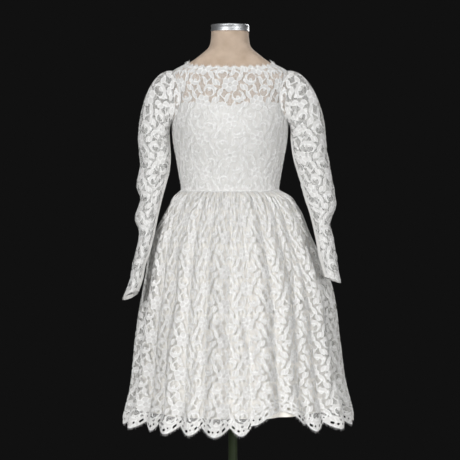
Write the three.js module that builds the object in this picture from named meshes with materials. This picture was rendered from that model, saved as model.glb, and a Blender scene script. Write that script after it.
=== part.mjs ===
// A tea-length lace wedding dress on a limbless dress form and its stand.
// Millimetres, +Z up. The front faces -Y. The origin is the middle of the base's underside.
// Angles round the body are in degrees from the middle of the front, positive towards +X.
import * as THREE from 'three';

// Cloth and seams
const SEAM = 0.3;              // clear gap between pieces that meet
const BODICE_WALL = 1.2;       // thickness of lining and lace on the bodice
const SKIRT_WALL = 2.2;        // thickness of the skirt cloth, measured outwards
const SLEEVE_WALL = 1.5;
const SIDE_SEAM_ANGLE = 0.18;  // half of the gap at side and shoulder seams

// Heights
const WAIST = 1020;
const LINING_TOP_DIP = { depth: 9, halfAngle: 11 };   // of the strapless lining, in the middle of the front
const LINING_HEM = 422;
const LACE_HEM = 399;          // top of the scallops
const SCALLOP_DROP = 21;

// The form leans a little to the left of its pole.
const FORM_SHIFT = -8;

// Neckline heights: a wide boat neck, highest on the shoulder seams.
const NECK = { front: 1361, shoulder: 1376, back: 1355, curve: 0.8 };

// The armhole is an ellipse on the side of the bodice.
const ARMHOLE = { low: 1205, high: 1352, halfAngle: 32 };
const ARMHOLE_MIDDLE = (ARMHOLE.low + ARMHOLE.high) / 2;
const ARMHOLE_HALF = (ARMHOLE.high - ARMHOLE.low) / 2;
const SLEEVE_SIDES = 14;
// Each sleeve is cut in two, by its sides: the outer piece is wider than the under piece.
const SLEEVE_PIECES = { outer: { from: 3, to: 11 }, under: { from: 11, to: 17 } };
const SLEEVE_SEAM_ANGLE = 0.3;   // half of the gap between them

// How far the insides of the lining and of the lace stand off the form: close at the waist and on
// the shoulders, eased round the armholes.
const LINING_TOP = 1262;
const EASE = [
  { z: WAIST, lining: 0.4, lace: 1.9 },
  { z: 1184, lining: 0.4, lace: 1.9 },
  { z: ARMHOLE.low, lining: 3, lace: 4.5 },
  { z: LINING_TOP, lining: 2.4, lace: 3.9 },
  { z: 1344, lining: 2.4, lace: 3.8 },
  { z: ARMHOLE.high, lining: 2.4, lace: 2 },
  { z: 1378, lining: 2.4, lace: 0.5 },
];

// Mesh steps
const FORM_SIDES = 40;
const BODICE_COLUMNS = 20;     // in a front or a whole back
const LACE_STEPS = 4;          // columns in one skirt fold, lace
const LINING_STEPS = 2;        // columns in one skirt fold, lining

// Horizontal sections of the form: half width, depth in front and depth behind.
const TORSO = [
  { z: 800, half: 160, front: 104, back: 116 },
  { z: 860, half: 164, front: 108, back: 120 },
  { z: 930, half: 156, front: 104, back: 112 },
  { z: 985, half: 140, front: 96, back: 98 },
  { z: 1020, half: 134, front: 92, back: 92 },
  { z: 1060, half: 139, front: 98, back: 93 },
  { z: 1105, half: 147, front: 110, back: 96 },
  { z: 1150, half: 155, front: 125, back: 99 },
  { z: 1190, half: 158, front: 131, back: 101 },
  { z: 1230, half: 157, front: 121, back: 101 },
  { z: 1280, half: 157, front: 98, back: 96 },
  { z: 1320, half: 160, front: 73, back: 82 },
  { z: 1352, half: 155, front: 53, back: 61 },
  { z: 1378, half: 107, front: 43, back: 50 },
  { z: 1398, half: 80, front: 45, back: 52 },
  { z: 1416, half: 60, front: 48, back: 53 },
  { z: 1440, half: 53, front: 50, back: 52 },
  { z: 1461, half: 52, front: 52, back: 52 },
];

// Skirt sections: reach of the fold troughs to each side, how much of the waist gathers
// and how much of the hem folds stand out there, and the cloth's thickness. The first row is the
// waist seam, on the outside of the bodice lace.
const SKIRT = [
  { z: WAIST, left: 137.1, right: 137.1, front: 95.1, back: 95.1, gather: 0, fall: 0, wall: BODICE_WALL },
  { z: 1006, left: 148, right: 158, front: 110, back: 108, gather: 1, fall: 0, wall: SKIRT_WALL },
  { z: 975, left: 166, right: 184, front: 133, back: 130, gather: 1, fall: 0.08, wall: SKIRT_WALL },
  { z: 900, left: 206, right: 218, front: 176, back: 170, gather: 0.8, fall: 0.25, wall: SKIRT_WALL },
  { z: 760, left: 234, right: 276, front: 216, back: 208, gather: 0.4, fall: 0.55, wall: SKIRT_WALL },
  { z: 600, left: 258, right: 300, front: 244, back: 236, gather: 0, fall: 0.85, wall: SKIRT_WALL },
  { z: 470, left: 270, right: 318, front: 264, back: 256, gather: 0, fall: 1, wall: SKIRT_WALL },
  { z: LACE_HEM, left: 290, right: 338, front: 280, back: 272, gather: 0, fall: 1, wall: SKIRT_WALL },
];

// Folds from the left side seam across the front, then from the right side seam across the back.
// Width in degrees of the ring, and how far each stands out under the waist and at the hem.
const FRONT_FOLDS = [
  { width: 13, waist: 4, hem: 10 },
  { width: 11, waist: 5, hem: 20 },
  { width: 15, waist: 6, hem: 30 },
  { width: 10, waist: 4, hem: 9 },
  { width: 14, waist: 6, hem: 26 },
  { width: 12, waist: 5, hem: 15 },
  { width: 15, waist: 7, hem: 31 },
  { width: 10, waist: 4, hem: 11 },
  { width: 14, waist: 6, hem: 27 },
  { width: 13, waist: 5, hem: 19 },
  { width: 11, waist: 4, hem: 9 },
  { width: 16, waist: 6, hem: 29 },
  { width: 12, waist: 5, hem: 17 },
  { width: 14, waist: 4, hem: 11 },
];
const BACK_FOLDS = [
  { width: 12, waist: 4, hem: 12 },
  { width: 14, waist: 6, hem: 26 },
  { width: 11, waist: 5, hem: 14 },
  { width: 15, waist: 6, hem: 30 },
  { width: 12, waist: 4, hem: 10 },
  { width: 13, waist: 6, hem: 24 },
  { width: 14, waist: 7, hem: 30 },
  { width: 11, waist: 5, hem: 13 },
  { width: 15, waist: 6, hem: 28 },
  { width: 12, waist: 4, hem: 10 },
  { width: 14, waist: 6, hem: 25 },
  { width: 11, waist: 5, hem: 16 },
  { width: 14, waist: 5, hem: 22 },
  { width: 12, waist: 4, hem: 10 },
];
const LINING_FOLD = 0.5;       // the lining's folds as a share of the lace's
// The lining is cut narrower than the lace: how far it falls inside it at each side.
const LINING_IN = [
  { z: WAIST, left: 0, right: 0 },
  { z: 900, left: 0, right: 0 },
  { z: 760, left: 6, right: 20 },
  { z: 600, left: 12, right: 36 },
  { z: 470, left: 14, right: 42 },
  { z: LACE_HEM, left: 16, right: 44 },
];

// The lace is caught up right of the middle of the front, its scallops drawn nearly flat, so the
// lining's hem shows there.
const HEM_CATCH = { angle: 23, spread: 11, lift: 40, flatten: 0.8 };

// Open slots along the scalloped border, two in each scallop.
const SLOT = { above: 12, tall: 6, inset: 0.2 };

// Sleeve sections, level rings: middle and half widths, from under the arm to the cuff.
const SLEEVES = {
  left: {
    side: -1,
    cuff: { outer: -10, front: 10 },
    rows: [
      { z: 1160, x: 212, y: -8, rx: 44, ry: 47 },
      { z: 1110, x: 209, y: -10, rx: 44, ry: 46 },
      { z: 1072, x: 211, y: -14, rx: 43, ry: 45 },
      { z: 1034, x: 219, y: -26, rx: 41, ry: 44 },
      { z: 992, x: 220, y: -44, rx: 31, ry: 40 },
      { z: 944, x: 230, y: -72, rx: 31, ry: 38 },
      { z: 902, x: 228, y: -102, rx: 21.5, ry: 36 },
      { z: 852, x: 238, y: -126, rx: 20.5, ry: 34 },
      { z: 815, x: 248, y: -137, rx: 18.5, ry: 33 },
      { z: 776, x: 256, y: -146, rx: 20, ry: 32 },
      { z: 738, x: 270, y: -152, rx: 22, ry: 31 },
    ],
  },
  right: {
    side: 1,
    cuff: { outer: -8, front: 4 },
    rows: [
      { z: 1160, x: 218, y: -8, rx: 49, ry: 47 },
      { z: 1110, x: 226, y: -10, rx: 50, ry: 46 },
      { z: 1070, x: 234, y: -14, rx: 47, ry: 45 },
      { z: 1026, x: 245, y: -26, rx: 46, ry: 44 },
      { z: 990, x: 252, y: -40, rx: 43, ry: 42 },
      { z: 970, x: 253, y: -50, rx: 37, ry: 41 },
      { z: 933, x: 252, y: -72, rx: 26.5, ry: 38 },
      { z: 891, x: 259, y: -96, rx: 25, ry: 36 },
      { z: 838, x: 267, y: -118, rx: 24.5, ry: 34 },
      { z: 778, x: 280, y: -132, rx: 22.5, ry: 32 },
    ],
  },
};
// The sleeve head leaves the armhole sideways and turns down to the first ring.
const SLEEVE_HEAD = {
  steps: [0.2, 0.42, 0.7],
  outTop: 60,
  outUnder: 8,
  rise: 0.15,
  dropTop: 88,
  dropUnder: 12,
};

// Stand
const POLE_RADIUS = 12.5;
const BASE = { radius: 210, rimRadius: 200, edge: 12, thick: 22 };
const BOSS = { footRadius: 50, foot: 30, radius: 34, shoulder: 44, topRadius: 26, top: 62 };
const HUB = { radius: 46, footRadius: 28, thick: 26, rim: 8 };
const CAP = { radius: 53.5, tall: 18.5, bevel: 3 };
const ROUND_SIDES = 32;

const MATERIALS = {
  lace: { color: 0xecebe8, roughness: 0.85, metalness: 0 },
  lining: { color: 0xefe8da, roughness: 0.6, metalness: 0 },
  formCloth: { color: 0xcbac89, roughness: 0.9, metalness: 0 },
  steel: { color: 0xb9bcc0, roughness: 0.3, metalness: 1 },
  enamel: { color: 0x2e381e, roughness: 0.45, metalness: 0.2 },
};

const radians = THREE.MathUtils.degToRad;
const lerp = THREE.MathUtils.lerp;

function mesh(name, geometry, finish) {
  const piece = new THREE.Mesh(geometry, new THREE.MeshStandardMaterial(MATERIALS[finish]));
  piece.name = name;
  return piece;
}

// One row of a table at height z, straight between its rows. Rows run up or down.
function straightRow(rows, z) {
  const rising = rows[1].z > rows[0].z;
  let index = 0;
  while (index < rows.length - 2 && (rising ? z > rows[index + 1].z : z < rows[index + 1].z)) index += 1;
  const share = (z - rows[index].z) / (rows[index + 1].z - rows[index].z);
  const row = {};
  for (const column of Object.keys(rows[0])) {
    row[column] = lerp(rows[index][column], rows[index + 1][column], share);
  }
  return row;
}

// One row of a table at height z on a smooth curve through its rows, for rising tables.
function smoothRow(rows, z) {
  const points = (column) => rows.map((row) => row[column]);
  let index = 0;
  while (index < rows.length - 2 && z > rows[index + 1].z) index += 1;
  const heights = points('z');
  const step = heights[index + 1] - heights[index];
  const share = (z - heights[index]) / step;
  const slope = (values, at) => {
    const before = Math.max(at - 1, 0);
    const after = Math.min(at + 1, rows.length - 1);
    return (values[after] - values[before]) / (heights[after] - heights[before]);
  };
  const row = { z };
  for (const column of ['half', 'front', 'back']) {
    const values = points(column);
    const bend0 = slope(values, index) * step;
    const bend1 = slope(values, index + 1) * step;
    const low = values[index];
    const high = values[index + 1];
    const square = share * share;
    const cube = square * share;
    row[column] = low * (2 * cube - 3 * square + 1) + bend0 * (cube - 2 * square + share)
      + high * (3 * square - 2 * cube) + bend1 * (cube - square);
  }
  return row;
}

// Turns of the sleeve's sides: 90 is the shoulder or outer side, -90 the underarm or inner side.
const sideTurn = (k) => -90 + (360 * k) / SLEEVE_SIDES;
const armholeLevels = Array.from({ length: SLEEVE_SIDES / 2 + 1 }, (_, k) => (
  ARMHOLE_MIDDLE + ARMHOLE_HALF * Math.sin(radians(sideTurn(k)))
));

// Levels that the form and every bodice layer share, so that the layers stay parallel.
const bodiceLevels = [WAIST, 1060, 1105, 1150, 1184, ...armholeLevels];
const formLevels = [800, 860, 930, 985, ...bodiceLevels, 1378, 1398, 1416, 1440, 1461];
const sections = formLevels.map((z) => smoothRow(TORSO, z));

// A point of the body at an angle and height, moved out by a distance.
function bodyPoint(angle, z, out) {
  const section = straightRow(sections, z);
  const across = Math.sin(radians(angle));
  const ahead = Math.cos(radians(angle));
  const depth = ahead > 0 ? section.front : section.back;
  return new THREE.Vector3((section.half + out) * across, -(depth + out) * ahead, z);
}

// Half angle of the armhole cut-out at a height.
function armholeCut(z) {
  const share = (z - ARMHOLE_MIDDLE) / ARMHOLE_HALF;
  if (Math.abs(share) >= 1) return 0;
  return ARMHOLE.halfAngle * Math.sqrt(1 - share * share);
}

function neckHeight(angle) {
  const ahead = Math.cos(radians(angle));
  const end = ahead > 0 ? NECK.front : NECK.back;
  return lerp(NECK.shoulder, end, Math.abs(ahead) ** NECK.curve);
}

// A closed solid from a grid of outer and inner points, rows[j][i]. openCell(j, i) gives the
// corners of a hole in a cell, or nothing.
function clothWall(outer, inner, openCell = () => null) {
  const rows = outer.length;
  const columns = outer[0].length;
  const points = [...outer.flat(), ...inner.flat()];
  const faces = [];
  const at = (side, j, i) => side * rows * columns + j * columns + i;
  const quad = (a, b, c, d) => faces.push(a, b, c, a, c, d);

  const within = (side, j, i, u, v) => {
    const corner = (dj, di) => points[at(side, j + dj, i + di)];
    const low = corner(0, 0).clone().lerp(corner(0, 1), u);
    return low.lerp(corner(1, 0).clone().lerp(corner(1, 1), u), v);
  };
  const holedCell = (j, i, hole) => {
    const loop = [[hole.u0, hole.v0], [hole.u1, hole.v0], [hole.u1, hole.v1], [hole.u0, hole.v1]];
    const edges = [0, 1].map((side) => loop.map(([u, v]) => points.push(within(side, j, i, u, v)) - 1));
    const around = [[0, 0], [0, 1], [1, 1], [1, 0]];
    const corners = [0, 1].map((side) => around.map(([dj, di]) => at(side, j + dj, i + di)));
    for (let k = 0; k < 4; k += 1) {
      const next = (k + 1) % 4;
      quad(corners[0][k], corners[0][next], edges[0][next], edges[0][k]);
      quad(corners[1][k], edges[1][k], edges[1][next], corners[1][next]);
      quad(edges[0][k], edges[0][next], edges[1][next], edges[1][k]);
    }
  };

  for (let j = 0; j < rows - 1; j += 1) {
    for (let i = 0; i < columns - 1; i += 1) {
      const hole = openCell(j, i);
      if (hole) {
        holedCell(j, i, hole);
      } else {
        quad(at(0, j, i), at(0, j, i + 1), at(0, j + 1, i + 1), at(0, j + 1, i));
        quad(at(1, j, i), at(1, j + 1, i), at(1, j + 1, i + 1), at(1, j, i + 1));
      }
    }
  }
  for (let i = 0; i < columns - 1; i += 1) {
    quad(at(1, 0, i), at(1, 0, i + 1), at(0, 0, i + 1), at(0, 0, i));
    quad(at(0, rows - 1, i), at(0, rows - 1, i + 1), at(1, rows - 1, i + 1), at(1, rows - 1, i));
  }
  const end = columns - 1;
  for (let j = 0; j < rows - 1; j += 1) {
    quad(at(0, j, 0), at(0, j + 1, 0), at(1, j + 1, 0), at(1, j, 0));
    quad(at(1, j, end), at(1, j + 1, end), at(0, j + 1, end), at(0, j, end));
  }
  return facesOut(points, faces);
}

// Geometry from points and faces, turned so that the faces point out.
function facesOut(points, faces) {
  let volume = 0;
  for (let k = 0; k < faces.length; k += 3) {
    const [a, b, c] = [points[faces[k]], points[faces[k + 1]], points[faces[k + 2]]];
    volume += a.dot(b.clone().cross(c));
  }
  const geometry = new THREE.BufferGeometry().setFromPoints(points);
  geometry.setIndex(volume > 0 ? faces : faces.reverse());
  geometry.computeVertexNormals();
  return geometry;
}

// The form: level rings closed by a flat top and a flat underside.
function formTorso() {
  const points = [];
  const faces = [];
  for (const section of sections) {
    for (let k = 0; k < FORM_SIDES; k += 1) points.push(bodyPoint((360 * k) / FORM_SIDES, section.z, 0));
  }
  const last = (sections.length - 1) * FORM_SIDES;
  for (let k = 0; k < FORM_SIDES; k += 1) {
    const next = (k + 1) % FORM_SIDES;
    for (let ring = 0; ring < last; ring += FORM_SIDES) {
      faces.push(ring + k, ring + next, ring + FORM_SIDES + next);
      faces.push(ring + k, ring + FORM_SIDES + next, ring + FORM_SIDES + k);
    }
    if (k > 0 && k < FORM_SIDES - 1) {
      faces.push(0, next, k);
      faces.push(last, last + k, last + next);
    }
  }
  return mesh('form_torso', facesOut(points, faces), 'formCloth');
}

// A bodice panel between two side edges. The middle is the angle of its own centre line,
// from and to run from -1 to 1 across a front or a whole back. Its finish is its column of EASE.
function bodicePanel(name, finish, { middle, from, to, levels, topEdge }) {
  const columns = Math.round((BODICE_COLUMNS * (to - from)) / 2);
  const layer = (out) => levels.map((level, j) => {
    const reach = 90 - armholeCut(level) - SIDE_SEAM_ANGLE;
    return Array.from({ length: columns + 1 }, (_, i) => {
      const angle = middle + reach * lerp(from, to, i / columns);
      const z = j === levels.length - 1 ? topEdge(angle) : level;
      return bodyPoint(angle, z, straightRow(EASE, z)[finish] + out);
    });
  });
  return mesh(name, clothWall(layer(BODICE_WALL), layer(0)), finish);
}

function bodice() {
  const dip = (angle) => Math.exp(-((angle / LINING_TOP_DIP.halfAngle) ** 2));
  const liningTop = (angle) => LINING_TOP - LINING_TOP_DIP.depth * dip(angle);
  const seamUp = WAIST + SEAM / 2;
  const levels = [seamUp, ...bodiceLevels.slice(1)];
  const lining = { from: -1, to: 1, levels: levels.filter((z) => z <= LINING_TOP + 1), topEdge: liningTop };
  // The panels above the armhole end on the neckline, a row past the shoulder point.
  const lace = { levels: [...levels, NECK.shoulder], topEdge: neckHeight };
  const closing = SIDE_SEAM_ANGLE / 90;
  return [
    bodicePanel('bodice_lining_front', 'lining', { ...lining, middle: 0 }),
    bodicePanel('bodice_lining_back', 'lining', { ...lining, middle: 180 }),
    bodicePanel('bodice_lace_front', 'lace', { ...lace, middle: 0, from: -1, to: 1 }),
    bodicePanel('bodice_lace_back_right', 'lace', { ...lace, middle: 180, from: -1, to: -closing }),
    bodicePanel('bodice_lace_back_left', 'lace', { ...lace, middle: 180, from: closing, to: 1 }),
  ];
}

// Columns across a skirt panel: angle, place within the fold from 0 to 1, and the fold's row.
function foldColumns(folds, start, steps) {
  const columns = [];
  let edge = start;
  for (const fold of folds) {
    for (let k = 0; k < steps; k += 1) {
      columns.push({ angle: edge + (fold.width * k) / steps, phase: k / steps, fold });
    }
    edge += fold.width;
  }
  columns.push({ angle: edge, phase: 0, fold: folds[folds.length - 1] });
  columns[0].angle += SIDE_SEAM_ANGLE;
  columns[columns.length - 1].angle -= SIDE_SEAM_ANGLE;
  return columns;
}

function skirtPoint(column, row, z, out, foldShare) {
  const across = Math.sin(radians(column.angle));
  const ahead = Math.cos(radians(column.angle));
  const stand = foldShare * (row.gather * column.fold.waist + row.fall * column.fold.hem);
  const reach = out + stand * Math.sin(Math.PI * column.phase);
  const wide = (across > 0 ? row.right : row.left) + reach;
  const deep = (ahead > 0 ? row.front : row.back) + reach;
  return new THREE.Vector3(wide * across, -deep * ahead, z);
}

function laceHem(column) {
  const caught = Math.exp(-(((column.angle - HEM_CATCH.angle) / HEM_CATCH.spread) ** 4));
  const drop = SCALLOP_DROP * (1 - HEM_CATCH.flatten * caught);
  return LACE_HEM + HEM_CATCH.lift * caught - drop * Math.sin(Math.PI * column.phase);
}

// A skirt panel: rows of the section table down to a hem, gathered into the waist seam.
function skirtPanel(name, finish, { folds, start, steps, foldShare, drawIn, hem, openCell }) {
  const columns = foldColumns(folds, start, steps);
  const rows = SKIRT.slice(0, -1);
  const layer = (inner) => {
    const level = (row, z, column) => {
      const wallIn = inner ? row.wall : 0;
      const narrow = straightRow(LINING_IN, z);
      const aside = drawIn * Math.sin(radians(column.angle)) ** 2;
      const cut = { ...row, left: row.left - aside * narrow.left, right: row.right - aside * narrow.right };
      return skirtPoint(column, cut, z, -wallIn - drawIn * (row.wall + SEAM), foldShare);
    };
    const height = (row, j) => (j === 0 ? WAIST - SEAM / 2 : row.z);
    const grid = rows.map((row, j) => columns.map((column) => level(row, height(row, j), column)));
    grid.push(columns.map((column) => level(straightRow(SKIRT, hem(column)), hem(column), column)));
    return grid;
  };
  return mesh(name, clothWall(layer(false), layer(true), openCell && openCell(columns)), finish);
}

// Slots in the lowest row of lace cells, on both slopes of each scallop.
function borderSlots(columns) {
  const cellRow = SKIRT.length - 2;
  const above = SKIRT[cellRow].z;
  return (j, i) => {
    if (j !== cellRow || i % LACE_STEPS === 0 || i % LACE_STEPS === LACE_STEPS - 1) return null;
    const tall = above - (laceHem(columns[i]) + laceHem(columns[i + 1])) / 2;
    const foot = 1 - SLOT.above / tall;
    return { u0: SLOT.inset, u1: 1 - SLOT.inset, v0: foot - SLOT.tall / tall, v1: foot };
  };
}

function skirt() {
  const front = { folds: FRONT_FOLDS, start: -90 };
  const back = { folds: BACK_FOLDS, start: 90 };
  const lining = { steps: LINING_STEPS, foldShare: LINING_FOLD, drawIn: 1, hem: () => LINING_HEM };
  const lace = { steps: LACE_STEPS, foldShare: 1, drawIn: 0, hem: laceHem, openCell: borderSlots };
  return [
    skirtPanel('skirt_lining_front', 'lining', { ...front, ...lining }),
    skirtPanel('skirt_lining_back', 'lining', { ...back, ...lining }),
    skirtPanel('skirt_lace_front', 'lace', { ...front, ...lace }),
    skirtPanel('skirt_lace_back', 'lace', { ...back, ...lace }),
  ];
}

// Turns of the columns of one sleeve piece, with its seam gaps.
function pieceTurns({ from, to }) {
  const turns = Array.from({ length: to - from + 1 }, (_, k) => sideTurn(from + k));
  turns[0] += SLEEVE_SEAM_ANGLE;
  turns[turns.length - 1] -= SLEEVE_SEAM_ANGLE;
  return turns;
}

// The sleeve's edge where it is sewn into the armhole, drawn in by a distance.
function armholeEdge(side, turns, inset) {
  const angleInset = THREE.MathUtils.radToDeg(inset / sections[0].front);
  return turns.map((turn) => {
    const forward = (ARMHOLE.halfAngle - angleInset) * Math.cos(radians(turn));
    const z = ARMHOLE_MIDDLE + (ARMHOLE_HALF - inset) * Math.sin(radians(turn));
    return bodyPoint(side * (90 - forward), z, straightRow(EASE, z).lace + BODICE_WALL);
  });
}

function levelRow(side, turns, row, inset, tilt = { outer: 0, front: 0 }) {
  return turns.map((turn) => {
    const outer = Math.sin(radians(turn));
    const ahead = Math.cos(radians(turn));
    const z = row.z + tilt.outer * outer + tilt.front * ahead;
    const x = side * (row.x + (row.rx - inset) * outer);
    return new THREE.Vector3(x, row.y - (row.ry - inset) * ahead, z);
  });
}

function sleeveLayer({ side, rows, cuff }, turns, inset) {
  const start = armholeEdge(side, turns, SEAM + inset);
  const first = levelRow(side, turns, rows[0], inset);
  const head = SLEEVE_HEAD.steps.map((share) => turns.map((turn, k) => {
    const upward = (1 + Math.sin(radians(turn))) / 2;
    const out = lerp(SLEEVE_HEAD.outUnder, SLEEVE_HEAD.outTop, upward);
    const drop = lerp(SLEEVE_HEAD.dropUnder, SLEEVE_HEAD.dropTop, upward);
    const path = new THREE.CubicBezierCurve3(
      start[k],
      start[k].clone().add(new THREE.Vector3(side * out, 0, out * SLEEVE_HEAD.rise)),
      first[k].clone().add(new THREE.Vector3(0, 0, drop)),
      first[k],
    );
    return path.getPoint(share);
  }));
  const last = rows.length - 1;
  const arm = rows.slice(1, last).map((row) => levelRow(side, turns, row, inset));
  const end = levelRow(side, turns, rows[last], inset, cuff);
  return [start, ...head, first, ...arm, end];
}

function sleeve(name, shape) {
  return Object.entries(SLEEVE_PIECES).map(([piece, sides]) => {
    const turns = pieceTurns(sides);
    const wall = clothWall(sleeveLayer(shape, turns, 0), sleeveLayer(shape, turns, SLEEVE_WALL));
    return mesh(`sleeve_${name}_${piece}`, wall, 'lace');
  });
}

// A solid of revolution about the vertical axis, from a closed profile of [radius, height].
function turned(name, finish, profile) {
  const outline = [...profile, profile[0]].map(([radius, height]) => new THREE.Vector2(radius, height));
  const geometry = new THREE.LatheGeometry(outline, ROUND_SIDES);
  geometry.rotateX(Math.PI / 2);
  return mesh(name, geometry, finish);
}

function neckCap() {
  const foot = sections[sections.length - 1].z + SEAM;
  const top = foot + CAP.tall;
  return turned('neck_cap', 'steel', [
    [0, foot], [CAP.radius, foot], [CAP.radius, top - CAP.bevel], [CAP.radius - CAP.bevel, top], [0, top],
  ]);
}

function stand() {
  const underForm = sections[0].z - SEAM;
  const underHub = underForm - HUB.thick;
  const poleTop = underHub - SEAM;
  const pole = turned('pole', 'enamel', [
    [0, BOSS.top + SEAM], [POLE_RADIUS, BOSS.top + SEAM], [POLE_RADIUS, poleTop], [0, poleTop],
  ]);
  const hub = turned('form_hub', 'enamel', [
    [0, underHub], [HUB.footRadius, underHub], [HUB.radius, underForm - HUB.rim],
    [HUB.radius, underForm], [0, underForm],
  ]);
  const base = turned('base', 'enamel', [
    [0, 0], [BASE.radius, 0], [BASE.radius, BASE.edge], [BASE.rimRadius, BASE.thick],
    [BOSS.footRadius, BOSS.foot], [BOSS.radius, BOSS.shoulder], [BOSS.topRadius, BOSS.top], [0, BOSS.top],
  ]);
  return [pole, hub, base];
}

const dressedForm = new THREE.Group();
dressedForm.position.x = FORM_SHIFT;
dressedForm.add(formTorso(), neckCap(), ...bodice(), ...skirt());
for (const [name, shape] of Object.entries(SLEEVES)) dressedForm.add(...sleeve(name, shape));

const part = new THREE.Group();
part.add(dressedForm, ...stand());

export default part;
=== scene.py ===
"""A tea-length lace wedding dress on a limbless dress form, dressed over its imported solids.

Tables and functions are in millimetres and degrees, in the solids' own frame. Meshes are in metres.
Angles round the body run from the middle of the front, positive towards +X.
"""
import math

import bpy
import numpy as np
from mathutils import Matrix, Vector


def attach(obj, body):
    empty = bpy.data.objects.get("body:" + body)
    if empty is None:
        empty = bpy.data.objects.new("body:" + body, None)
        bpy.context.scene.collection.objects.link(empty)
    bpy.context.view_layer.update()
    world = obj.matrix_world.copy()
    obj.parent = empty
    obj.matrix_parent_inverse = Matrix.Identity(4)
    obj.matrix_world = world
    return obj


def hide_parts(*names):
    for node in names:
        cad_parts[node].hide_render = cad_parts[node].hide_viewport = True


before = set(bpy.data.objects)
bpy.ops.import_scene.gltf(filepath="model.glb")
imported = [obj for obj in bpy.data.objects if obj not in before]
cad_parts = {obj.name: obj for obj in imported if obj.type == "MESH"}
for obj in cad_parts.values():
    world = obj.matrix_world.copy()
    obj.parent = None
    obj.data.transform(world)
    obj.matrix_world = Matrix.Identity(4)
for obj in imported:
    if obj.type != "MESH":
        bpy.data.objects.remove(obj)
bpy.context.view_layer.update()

MM = 0.001
FORM_SHIFT = -8
WAIST = 1020

# The photograph's view
PIXEL = 2.8
AIM = (FORM_SHIFT, 0, 908)
CAMERA_BACK = 4500
CAMERA_HEIGHT = 1150
HALF_PICTURE = 230 * PIXEL

# Sections of the form: height, half width, depth in front, depth behind.
TORSO = np.array([
    (800, 160, 104, 116),
    (860, 164, 108, 120),
    (930, 156, 104, 112),
    (985, 140, 96, 98),
    (1020, 134, 92, 92),
    (1060, 139, 98, 93),
    (1105, 147, 110, 96),
    (1150, 155, 125, 99),
    (1190, 158, 131, 101),
    (1230, 157, 121, 101),
    (1280, 157, 98, 96),
    (1320, 160, 73, 82),
    (1352, 155, 53, 61),
    (1378, 107, 43, 50),
    (1398, 80, 45, 52),
    (1416, 60, 48, 53),
    (1440, 53, 50, 52),
    (1461, 52, 52, 52),
])
NECK = {"front": 1361, "shoulder": 1376, "back": 1355, "curve": 0.8}
ARMHOLE = {"low": 1205, "high": 1352, "half_angle": 32}
ARMHOLE_MIDDLE = (ARMHOLE["low"] + ARMHOLE["high"]) / 2
ARMHOLE_HALF = (ARMHOLE["high"] - ARMHOLE["low"]) / 2
LINING_TOP = 1262
LINING_TOP_DIP = {"depth": 9, "half_angle": 11}

# Skirt sections: height, reach of the fold troughs left, right, in front and behind,
# share of the waist gathers and share of the hem folds.
SKIRT = np.array([
    (399, 290, 338, 280, 272, 0, 1),
    (470, 270, 318, 264, 256, 0, 1),
    (600, 258, 300, 244, 236, 0, 0.85),
    (760, 234, 276, 216, 208, 0.4, 0.55),
    (900, 206, 218, 176, 170, 0.8, 0.25),
    (975, 166, 184, 133, 130, 1, 0.08),
    (1006, 148, 158, 110, 108, 1, 0),
    (1020, 137.1, 137.1, 95.1, 95.1, 0, 0),
])
# Folds round the ring from the left side seam: width in degrees, height under the waist and at the hem.
FRONT_FOLDS = [
    (13, 4, 10), (11, 5, 20), (15, 6, 30), (10, 4, 9), (14, 6, 26), (12, 5, 15), (15, 7, 31),
    (10, 4, 11), (14, 6, 27), (13, 5, 19), (11, 4, 9), (16, 6, 29), (12, 5, 17), (14, 4, 11),
]
BACK_FOLDS = [
    (12, 4, 12), (14, 6, 26), (11, 5, 14), (15, 6, 30), (12, 4, 10), (13, 6, 24), (14, 7, 30),
    (11, 5, 13), (15, 6, 28), (12, 4, 10), (14, 6, 25), (11, 5, 16), (14, 5, 22), (12, 4, 10),
]
LACE_HEM = 399
LINING_HEM = 422
SCALLOP_DROP = 21
HEM_CATCH = {"angle": 23, "spread": 11, "lift": 40, "flatten": 0.8}
# How far the lining falls inside the lace at each side: height, left, right.
LINING_IN = np.array([
    (399, 16, 44), (470, 14, 42), (600, 12, 36), (760, 6, 20), (900, 0, 0), (1020, 0, 0),
], float)
UNDERSKIRT = {"out": -4.5, "folds": 0.5, "creases": 0.7}
FOLD = {"round": 0.65, "uneven": 0.14, "wander": 83, "stagger": 1.9}
PLEATS = {"height": 4.2, "from": 1006, "fade": 80, "per_fold": 2.5, "stagger": 0.37, "middle": 0.4}
WEAR = {"depth": 1.6, "per_degree": 3.4, "fade": 40}
FLAT_PER_DEGREE = 5.9     # cloth width of the skirt for each degree of the ring
SKIRT_SLANT = 1.07        # cloth length of the skirt for each millimetre of height

# Sleeve sections, level rings: height, middle x and y, half widths in x and y.
SLEEVE_LEFT = np.array([
    (1160, 212, -8, 44, 47),
    (1110, 209, -10, 44, 46),
    (1072, 211, -14, 43, 45),
    (1034, 219, -26, 41, 44),
    (992, 220, -44, 31, 40),
    (944, 230, -72, 31, 38),
    (902, 228, -102, 21.5, 36),
    (852, 238, -126, 20.5, 34),
    (815, 248, -137, 18.5, 33),
    (776, 256, -146, 20, 32),
    (738, 270, -152, 22, 31),
])
SLEEVE_RIGHT = np.array([
    (1160, 218, -8, 49, 47),
    (1110, 226, -10, 50, 46),
    (1070, 234, -14, 47, 45),
    (1026, 245, -26, 46, 44),
    (990, 252, -40, 43, 42),
    (970, 253, -50, 37, 41),
    (933, 252, -72, 26.5, 38),
    (891, 259, -96, 25, 36),
    (838, 267, -118, 24.5, 34),
    (778, 280, -132, 22.5, 32),
])
SLEEVE_TABLES = {"left": SLEEVE_LEFT, "right": SLEEVE_RIGHT}
SLEEVE_SIDES = {"left": -1, "right": 1}
CUFF_TILT = {"left": (-10, 10), "right": (-8, 4)}    # outer side and front, at the last ring
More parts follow.
